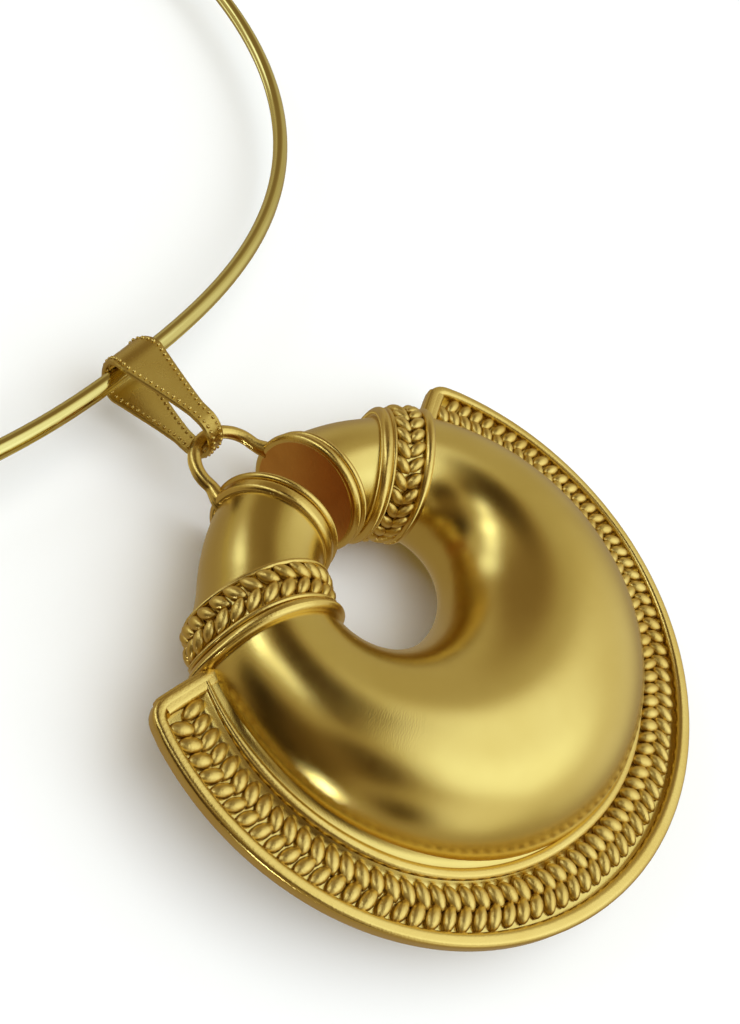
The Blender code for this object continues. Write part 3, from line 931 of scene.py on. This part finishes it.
def bail_bend(centre, bore, start, sweep):
    turns = [start - sweep * share for share in shares(BAIL_BEND_POINTS)]
    return [(centre + bore * math.cos(turn), bore * math.sin(turn), turn) for turn in turns]


def bail_path():
    """Inner face of the strip from the side: along, rise, and the way its outside faces."""
    lean = math.asin((BAIL_TOP_BORE - BAIL_FOOT_BORE) / (BAIL_TOP_Y - BAIL_FOOT_Y))
    half_turn = math.pi / 2
    top = bail_bend(BAIL_TOP_Y, BAIL_TOP_BORE, half_turn + lean, math.pi + 2 * lean)
    foot = bail_bend(BAIL_FOOT_Y, BAIL_FOOT_BORE, -half_turn - lean, math.pi - 2 * lean)
    path = []
    for bend, following in ((top, foot), (foot, top)):
        path.extend(bend)
        start, end = bend[-1], following[0]
        for step in range(1, BAIL_LEAF_POINTS):
            share = step / BAIL_LEAF_POINTS
            place = [a + (b - a) * share for a, b in zip(start[:2], end[:2])]
            path.append((*place, bend[-1][2]))
    return path


def bail_middle_and_half(along):
    share = (along - BAIL_FOOT_Y) / (BAIL_TOP_Y - BAIL_FOOT_Y)
    past_neck = (share - BAIL_NECK_SHARE) / (1 - BAIL_NECK_SHARE)
    growth = min(1.0, max(0.0, past_neck)) ** BAIL_TAPER
    half = (BAIL_NECK_WIDTH + (BAIL_WIDTH - BAIL_NECK_WIDTH) * growth) / 2
    past_top = max(0.0, along - BAIL_TOP_Y) / (BAIL_TOP_BORE + BAIL_STRIP)
    middle = BAIL_FOOT_SLIDE + (BAIL_TOP_SLIDE - BAIL_FOOT_SLIDE) * share
    return middle, half - BAIL_TOP_ROUNDING * past_top ** 2


def bail_point(along, rise, facing, across_share, lift, inset=0.0):
    """A place on the strip: across_share runs from edge to edge, lift off its inner face."""
    along += lift * math.cos(facing)
    rise += lift * math.sin(facing)
    middle, half = bail_middle_and_half(along)
    across = middle + across_share * (half - inset)
    return pendant_point(across, along, HORN_AXIS_HEIGHT + rise)


def make_bail(material):
    """The folded strip, its long edges slightly rounded."""
    near_edge = [
        (0.0, BAIL_CORNER),
        (BAIL_CORNER, 0.0),
        (BAIL_STRIP - BAIL_CORNER, 0.0),
        (BAIL_STRIP, BAIL_CORNER),
    ]
    corners = [(-1, *corner) for corner in near_edge]
    corners += [(1, *corner) for corner in near_edge[::-1]]
    rings = [[bail_point(*place, *corner) for corner in corners] for place in bail_path()]
    return loft_mesh("bail_strip", rings, material, closed=True)


def make_bail_beads(beads, material):
    """A row of beads along each edge of the strip, on both its faces."""
    meshes = []
    for side, lift in ((-1, BAIL_STRIP), (1, BAIL_STRIP), (-1, 0.0), (1, 0.0)):
        points = [bail_point(*place, side, lift, BEAD_INSET) for place in bail_path()]
        path = path_object("bail_edge", points, closed=True)
        meshes.append(
            run_tree(
                path,
                beads,
                spacing=BEAD_SPACING,
                bead_radius=BEAD_RADIUS,
                seed=4 + side,
                material=material,
            )
        )
    return meshes


# The neck wire.


def neck_point(turn):
    spread = abs(math.sin(turn)) ** NECK_SQUARENESS
    across = math.copysign(NECK_HALF_WIDTH * spread, math.sin(turn))
    depth = NECK_NEAR_DEPTH if math.cos(turn) > 0 else NECK_FAR_DEPTH
    along = NECK_NEAR_DEPTH - depth * math.cos(turn)
    height = HORN_AXIS_HEIGHT - along * math.sin(NECK_TILT)
    return Vector((across, PENDANT_Y + NEAR_WIRE_Y + along * math.cos(NECK_TILT), height))


def far_turn(across):
    share = (abs(across) / NECK_HALF_WIDTH) ** (1 / NECK_SQUARENESS)
    return math.copysign(math.pi - math.asin(share), across)


def neck_wire_path():
    """From the eye's free end, round the neck, to the free end of the hook."""
    eye_x = -EYE_RADIUS / 2
    bend_x = eye_x + EYE_RADIUS
    centre = neck_point(far_turn(eye_x))
    centre.z += EYE_RADIUS
    path = []
    for share in shares(2 * HOOK_POINTS)[:-1]:
        turn = EYE_REACH * (1 - share)
        path.append(centre + Vector((math.sin(turn), 0.0, -math.cos(turn))) * EYE_RADIUS)
    first = far_turn(eye_x)
    last = far_turn(bend_x + HOOK_RISE_LENGTH)
    path += [neck_point(first + (last - first) * share) for share in shares(WIRE_POINTS)]
    for share in shares(HOOK_POINTS)[1:]:
        lift = smooth_step(share)
        point = neck_point(far_turn(bend_x + HOOK_RISE_LENGTH * (1 - share)))
        point.y += HOOK_RADIUS * lift
        point.z += EYE_RADIUS * lift
        path.append(point)
    bend_centre = path[-1] - Vector((0.0, HOOK_RADIUS, 0.0))
    for share in shares(HOOK_POINTS)[1:]:
        turn = math.pi / 2 + math.pi * share
        path.append(bend_centre + Vector((math.cos(turn), math.sin(turn), 0.0)) * HOOK_RADIUS)
    path.append(path[-1] + Vector((HOOK_ARM_LENGTH, 0.0, 0.0)))
    return path


def make_neck_wire(sweep, material):
    points = neck_wire_path()
    normals = [Vector((0.0, 0.001, 1.0))] * len(points)
    path = path_object("neck_wire_path", points, skin_normal=normals)
    return swept_bar(sweep, path, WIRE_DIAMETER, WIRE_DIAMETER, material)


# Finishes.


def gold(name, colour, deep, roughness, grain, grain_size):
    """Metal whose colour and polish drift a little, over a fine grain."""
    material = bpy.data.materials.new(name)
    material.use_nodes = True
    nodes, links = material.node_tree.nodes, material.node_tree.links
    shader = nodes["Principled BSDF"]
    shader.inputs["Metallic"].default_value = 1.0
    place = nodes.new("ShaderNodeTexCoord").outputs["Object"]

    def noise(size, detail):
        node = nodes.new("ShaderNodeTexNoise")
        node.inputs["Scale"].default_value = 1.0 / size
        node.inputs["Detail"].default_value = detail
        links.new(place, node.inputs["Vector"])
        return node.outputs["Fac"]

    drift = noise(COLOUR_DRIFT_SIZE, 3.0)
    mix = nodes.new("ShaderNodeMix")
    mix.data_type = "RGBA"
    mix.inputs["A"].default_value = (*deep, 1.0)
    mix.inputs["B"].default_value = (*colour, 1.0)
    spread = nodes.new("ShaderNodeMapRange")
    spread.inputs["From Min"].default_value = COLOUR_DRIFT_SPAN[0]
    spread.inputs["From Max"].default_value = COLOUR_DRIFT_SPAN[1]
    links.new(drift, spread.inputs["Value"])
    links.new(spread.outputs["Result"], mix.inputs["Factor"])
    links.new(mix.outputs["Result"], shader.inputs["Base Color"])
    polish = nodes.new("ShaderNodeMapRange")
    polish.inputs["To Min"].default_value = roughness * POLISH_DRIFT_SPAN[0]
    polish.inputs["To Max"].default_value = roughness * POLISH_DRIFT_SPAN[1]
    links.new(noise(POLISH_DRIFT_SIZE, 4.0), polish.inputs["Value"])
    links.new(polish.outputs["Result"], shader.inputs["Roughness"])
    bump = nodes.new("ShaderNodeBump")
    bump.inputs["Strength"].default_value = grain
    bump.inputs["Distance"].default_value = GRAIN_DEPTH
    links.new(noise(grain_size, 5.0), bump.inputs["Height"])
    links.new(bump.outputs["Normal"], shader.inputs["Normal"])
    return material


# Studio.


def make_camera():
    data = bpy.data.cameras.new("photo_camera")
    data.sensor_width = CAMERA_SENSOR
    data.lens = CAMERA_LENS
    data.clip_start = CAMERA_CLIP_START
    camera = bpy.data.objects.new("photo_camera", data)
    bpy.context.scene.collection.objects.link(camera)
    right = Vector(CAMERA_RIGHT).normalized()
    back = right.cross(Vector(CAMERA_UP)).normalized()
    up = back.cross(right)
    turned = Matrix((right, up, back)).transposed().to_4x4()
    across, along, height = CAMERA_FROM_PENDANT
    place = pendant_point(across, along, FLANGE_FACE + height)
    camera.matrix_world = Matrix.Translation(place) @ turned
    bpy.context.scene.camera = camera


def aim(azimuth, elevation):
    """Unit vector towards a compass angle from +X and a height above the table."""
    turn, rise = math.radians(azimuth), math.radians(elevation)
    flat = math.cos(rise)
    return Vector((math.cos(turn) * flat, math.sin(turn) * flat, math.sin(rise)))


def make_softbox():
    """A panel that lights the paper; the gold mirrors the painted surround instead."""
    data = bpy.data.lights.new("overhead_softbox", "AREA")
    data.shape = "RECTANGLE"
    data.size = SOFTBOX_SIDE
    data.size_y = SOFTBOX_SIDE
    data.energy = SOFTBOX_POWER
    light = bpy.data.objects.new("overhead_softbox", data)
    light.visible_glossy = False
    bpy.context.scene.collection.objects.link(light)
    towards = aim(*SOFTBOX_AIM)
    light.location = pendant_point(0.0, 0.0, 0.0) + towards * SOFTBOX_DISTANCE
    light.rotation_euler = towards.to_track_quat("Z", "Y").to_euler()


def make_surround():
    """The studio all round: an even grey with soft bright panels and dark gaps."""
    world = bpy.data.worlds.new("studio")
    bpy.context.scene.world = world
    world.use_nodes = True
    nodes, links = world.node_tree.nodes, world.node_tree.links
    background = nodes["Background"]
    facing = nodes.new("ShaderNodeTexCoord").outputs["Generated"]
    total = None
    for azimuth, elevation, core, reach, level in SURROUND:
        dot = nodes.new("ShaderNodeVectorMath")
        dot.operation = "DOT_PRODUCT"
        links.new(facing, dot.inputs[0])
        dot.inputs[1].default_value = aim(azimuth, elevation)
        fade = nodes.new("ShaderNodeMapRange")
        fade.interpolation_type = "SMOOTHSTEP"
        fade.inputs["From Min"].default_value = math.cos(math.radians(reach))
        fade.inputs["From Max"].default_value = math.cos(math.radians(core))
        links.new(dot.outputs["Value"], fade.inputs["Value"])
        mix = nodes.new("ShaderNodeMix")
        mix.data_type = "FLOAT"
        links.new(fade.outputs["Result"], mix.inputs["Factor"])
        if total is None:
            mix.inputs["A"].default_value = SURROUND_LEVEL
        else:
            links.new(total, mix.inputs["A"])
        mix.inputs["B"].default_value = level
        total = mix.outputs["Result"]
    scaled = nodes.new("ShaderNodeMath")
    scaled.operation = "DIVIDE"
    links.new(total, scaled.inputs[0])
    scaled.inputs[1].default_value = SURROUND_BRIGHT
    tint = nodes.new("ShaderNodeValToRGB")
    stops = tint.color_ramp.elements
    while len(stops) < len(SURROUND_TINTS):
        stops.new(1.0)
    for stop, (level, colour) in zip(stops, SURROUND_TINTS):
        stop.position = level / SURROUND_BRIGHT
        stop.color = (*colour, 1.0)
    links.new(scaled.outputs[0], tint.inputs["Fac"])
    links.new(tint.outputs["Color"], background.inputs["Color"])
    links.new(total, background.inputs["Strength"])


def make_floor():
    mesh = bpy.data.meshes.new("floor")
    half = FLOOR_HALF
    corners = [(-half, -half, 0.0), (half, -half, 0.0), (half, half, 0.0), (-half, half, 0.0)]
    mesh.from_pydata(corners, [], [(0, 1, 2, 3)])
    material = bpy.data.materials.new("pale_paper")
    material.use_nodes = True
    shader = material.node_tree.nodes["Principled BSDF"]
    shader.inputs["Base Color"].default_value = PAPER_COLOUR
    shader.inputs["Roughness"].default_value = PAPER_ROUGHNESS
    mesh.materials.append(material)
    floor = bpy.data.objects.new("floor", mesh)
    bpy.context.scene.collection.objects.link(floor)
    floor.visible_glossy = False


def make_pieces():
    """Every visible piece, dressed with its body and its CAD node."""
    sweep, plait, beads, skin = sweep_tree(), braid_tree(), bead_tree(), horn_tree()
    satin, bright, braid, disc, strip, polished = [
        gold(name, *finish) for name, finish in FINISHES.items()
    ]

    # The horn's end discs take the darker gold of painted shade.
    horn = joined("horn_body", [make_horn(skin, satin, disc)], PENDANT_SHARP)
    dress(horn, "satin_gold", PENDANT_NODE)
    rims = joined("horn_end_rims", make_end_rims(sweep, bright))
    dress(rims, "satin_gold", PENDANT_NODE)
    for side, name in ((-1, "left_braided_band"), (1, "right_braided_band")):
        band = joined(name, make_band(sweep, plait, side, bright, braid))
        dress(band, "satin_gold", PENDANT_NODE)
    bars = [*make_flange_rim(sweep, bright), make_inner_band(sweep, bright)]
    flange = joined("crescent_flange", [make_flange_plate(satin), *bars], PENDANT_SHARP)
    dress(flange, "satin_gold", PENDANT_NODE)
    braids = joined("flange_braid", make_flange_braid(plait, braid))
    dress(braids, "satin_gold", PENDANT_NODE)
    loop = joined("hanging_loop", [make_loop(sweep, bright)])
    dress(loop, "satin_gold", PENDANT_NODE)

    strip_and_beads = [make_bail(strip), *make_bail_beads(beads, bright)]
    bail = joined("folded_bail", strip_and_beads, BAIL_SHARP)
    dress(bail, "strip_gold", "bail")
    wire = joined("round_neck_wire", [make_neck_wire(sweep, polished)])
    dress(wire, "wire_gold", "neck_wire")


def make_studio():
    make_camera()
    bpy.context.scene.view_settings.view_transform = "Standard"
    make_surround()
    make_softbox()
    make_floor()


make_pieces()
make_studio()
